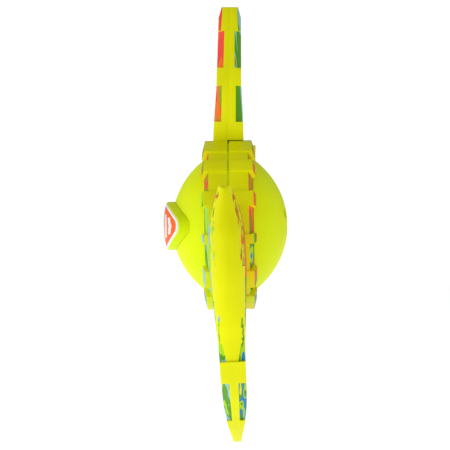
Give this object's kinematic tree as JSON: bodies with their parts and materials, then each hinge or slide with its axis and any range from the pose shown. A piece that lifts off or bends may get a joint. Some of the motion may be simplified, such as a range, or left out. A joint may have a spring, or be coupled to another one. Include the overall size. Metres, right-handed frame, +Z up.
{
  "type": "flipping hand toy",
  "caption": "Hand flipping skill toy: two printed fins hinged on a ring hub that turns on a light-up orb with a badge-shaped push button.",
  "frame": {"origin": "centre of the hub, on the axis that the fins and the orb turn about", "axes": "+X along the hinge axis towards the battery door, +Z up along the upper fin, -Y towards the side that the lower fin's heel faces"},
  "size_m": [0.0543, 0.1248, 0.1913],
  "materials": {
    "printed_plastic": "neon yellow moulded shell with a multicolour print on its faces",
    "dome_plastic": "translucent neon yellow",
    "screw_steel": "zinc plated",
    "bearing_plastic": "natural acetal",
    "cell_steel": "nickel plated",
    "contact_brass": "sprung",
    "chassis_plastic": "white moulding",
    "board_laminate": "green solder mask",
    "led_lens": "clear lens over a white body",
    "chip_plastic": "black moulding",
    "badge_white": "white print",
    "badge_orange": "orange moulding"
  },
  "bodies": {
    "upper_fin": {"upper_fin_left": "printed_plastic", "upper_fin_right": "printed_plastic", "upper_fin_screws": "screw_steel", "ring_washer": "bearing_plastic"},
    "lower_fin": {"lower_fin_right": "printed_plastic", "lower_fin_left": "printed_plastic", "lower_fin_screws": "screw_steel"},
    "orb": {"orb_left_dome": "dome_plastic", "orb_right_dome": "dome_plastic", "battery_door": "dome_plastic", "battery_door_screw": "screw_steel", "button_cells": "cell_steel", "battery_contacts": "contact_brass", "orb_chassis": "chassis_plastic", "chassis_screws": "screw_steel", "orb_screws": "screw_steel", "circuit_board": "board_laminate", "leds": "led_lens", "controller_chip": "chip_plastic", "motion_switch": "cell_steel", "tact_switch": "chip_plastic", "badge_spring": "screw_steel"},
    "badge_button": {"badge_cap": "dome_plastic", "badge_rim": "badge_white", "badge_face": "badge_orange", "badge_bars": "badge_white"}
  },
  "joints": [
    {"name": "fin_hinge", "type": "hinge", "parent": "upper_fin", "child": "lower_fin", "pos_m": [0, 0, 0], "axis": [1, 0, 0], "range_deg": [-48, 48]},
    {"name": "orb_spin", "type": "hinge", "parent": "upper_fin", "child": "orb", "pos_m": [0, 0, 0], "axis": [1, 0, 0], "continuous": true},
    {"name": "badge_press", "type": "slide", "parent": "orb", "child": "badge_button", "axis": [1, 0, 0], "range_m": [0, 0.001], "stiffness_N_per_m": 400, "springref_m": -0.002, "deforming": ["badge_spring"]}
  ]
}
